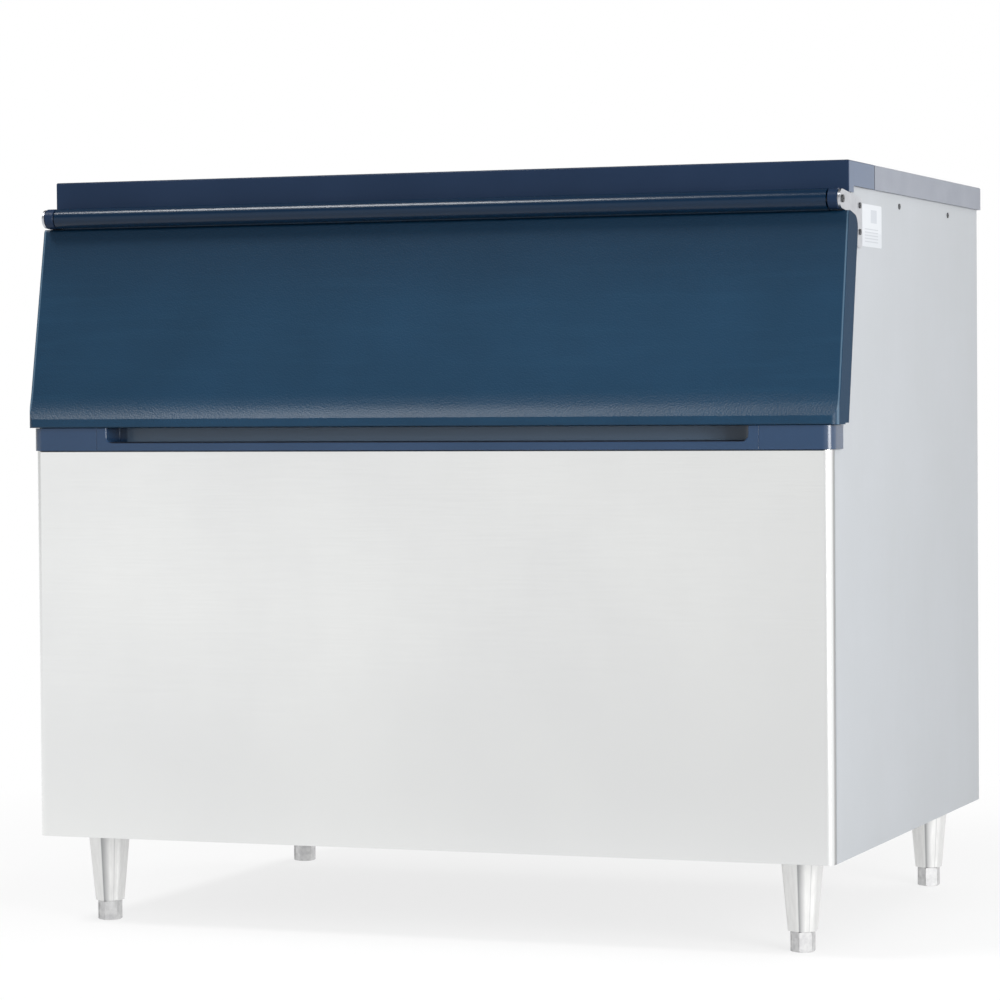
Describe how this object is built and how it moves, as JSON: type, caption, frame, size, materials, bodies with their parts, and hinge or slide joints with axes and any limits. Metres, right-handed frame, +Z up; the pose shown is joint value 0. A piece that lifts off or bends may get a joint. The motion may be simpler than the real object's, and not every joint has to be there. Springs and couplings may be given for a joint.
{
  "type": "ice storage bin",
  "caption": "Floor-standing insulated ice bin: sloped lift-up door on a hinge bar, open railed top for an ice machine, sill with finger recess, adjustable tapered legs.",
  "frame": {"origin": "on the floor, under the middle of the bin's outer box", "axes": "+Z up, the door faces -Y, +X to the right of someone who faces the door"},
  "size_m": [1.241, 0.8749, 1.103],
  "materials": {
    "front_sheet": "satin",
    "cabinet_sheet": "satin",
    "rail": "satin",
    "trim": "satin",
    "door": "satin",
    "liner": "satin",
    "foam": "matte",
    "gasket": "matte",
    "hinge_steel": "satin",
    "fastener": "satin",
    "leg": "satin",
    "drain": "matte"
  },
  "bodies": {
    "cabinet": {"front_panel": "front_sheet", "side_panel_left": "cabinet_sheet", "side_panel_right": "cabinet_sheet", "back_panel": "cabinet_sheet", "base_pan": "cabinet_sheet", "liner": "liner", "foam_insulation": "foam", "sill_rail": "trim", "sill_corner_left": "trim", "sill_corner_right": "trim", "top_fascia": "trim", "top_rail": "rail", "hinge_rod": "hinge_steel", "hinge_bush_left": "trim", "hinge_bush_right": "trim", "hinge_bracket_left": "hinge_steel", "hinge_bracket_right": "hinge_steel", "pivot_screw_left": "fastener", "pivot_screw_right": "fastener", "bracket_screw_upper_left": "fastener", "bracket_screw_upper_right": "fastener", "bracket_screw_lower_left": "fastener", "bracket_screw_lower_right": "fastener", "side_screw_front_left": "fastener", "side_screw_front_right": "fastener", "side_screw_rear_left": "fastener", "side_screw_rear_right": "fastener", "ice_baffle": "liner", "baffle_screw_left": "fastener", "baffle_screw_right": "fastener", "drain_fitting": "drain", "drain_nut": "drain", "drain_strainer": "hinge_steel", "leg_plate_front_left": "hinge_steel", "leg_plate_front_right": "hinge_steel", "leg_plate_rear_left": "hinge_steel", "leg_plate_rear_right": "hinge_steel", "leg_front_left": "leg", "leg_front_right": "leg", "leg_rear_left": "leg", "leg_rear_right": "leg"},
    "door": {"door_shell": "door", "door_inner_pan": "liner", "door_foam": "foam", "door_gasket": "gasket"},
    "foot_front_left": {"foot_front_left": "leg"},
    "foot_front_right": {"foot_front_right": "leg"},
    "foot_rear_left": {"foot_rear_left": "leg"},
    "foot_rear_right": {"foot_rear_right": "leg"}
  },
  "joints": [
    {"name": "door_hinge", "type": "hinge", "parent": "cabinet", "child": "door", "pos_m": [0, -0.3825, 1.0475], "axis": [-1, 0, 0], "range_deg": [0, 175]},
    {"name": "foot_front_left_screw", "type": "slide", "parent": "cabinet", "child": "foot_front_left", "axis": [0, 0, -1], "range_m": [0, 0.019]},
    {"name": "foot_front_right_screw", "type": "slide", "parent": "cabinet", "child": "foot_front_right", "axis": [0, 0, -1], "range_m": [0, 0.019]},
    {"name": "foot_rear_left_screw", "type": "slide", "parent": "cabinet", "child": "foot_rear_left", "axis": [0, 0, -1], "range_m": [0, 0.019]},
    {"name": "foot_rear_right_screw", "type": "slide", "parent": "cabinet", "child": "foot_rear_right", "axis": [0, 0, -1], "range_m": [0, 0.019]}
  ]
}
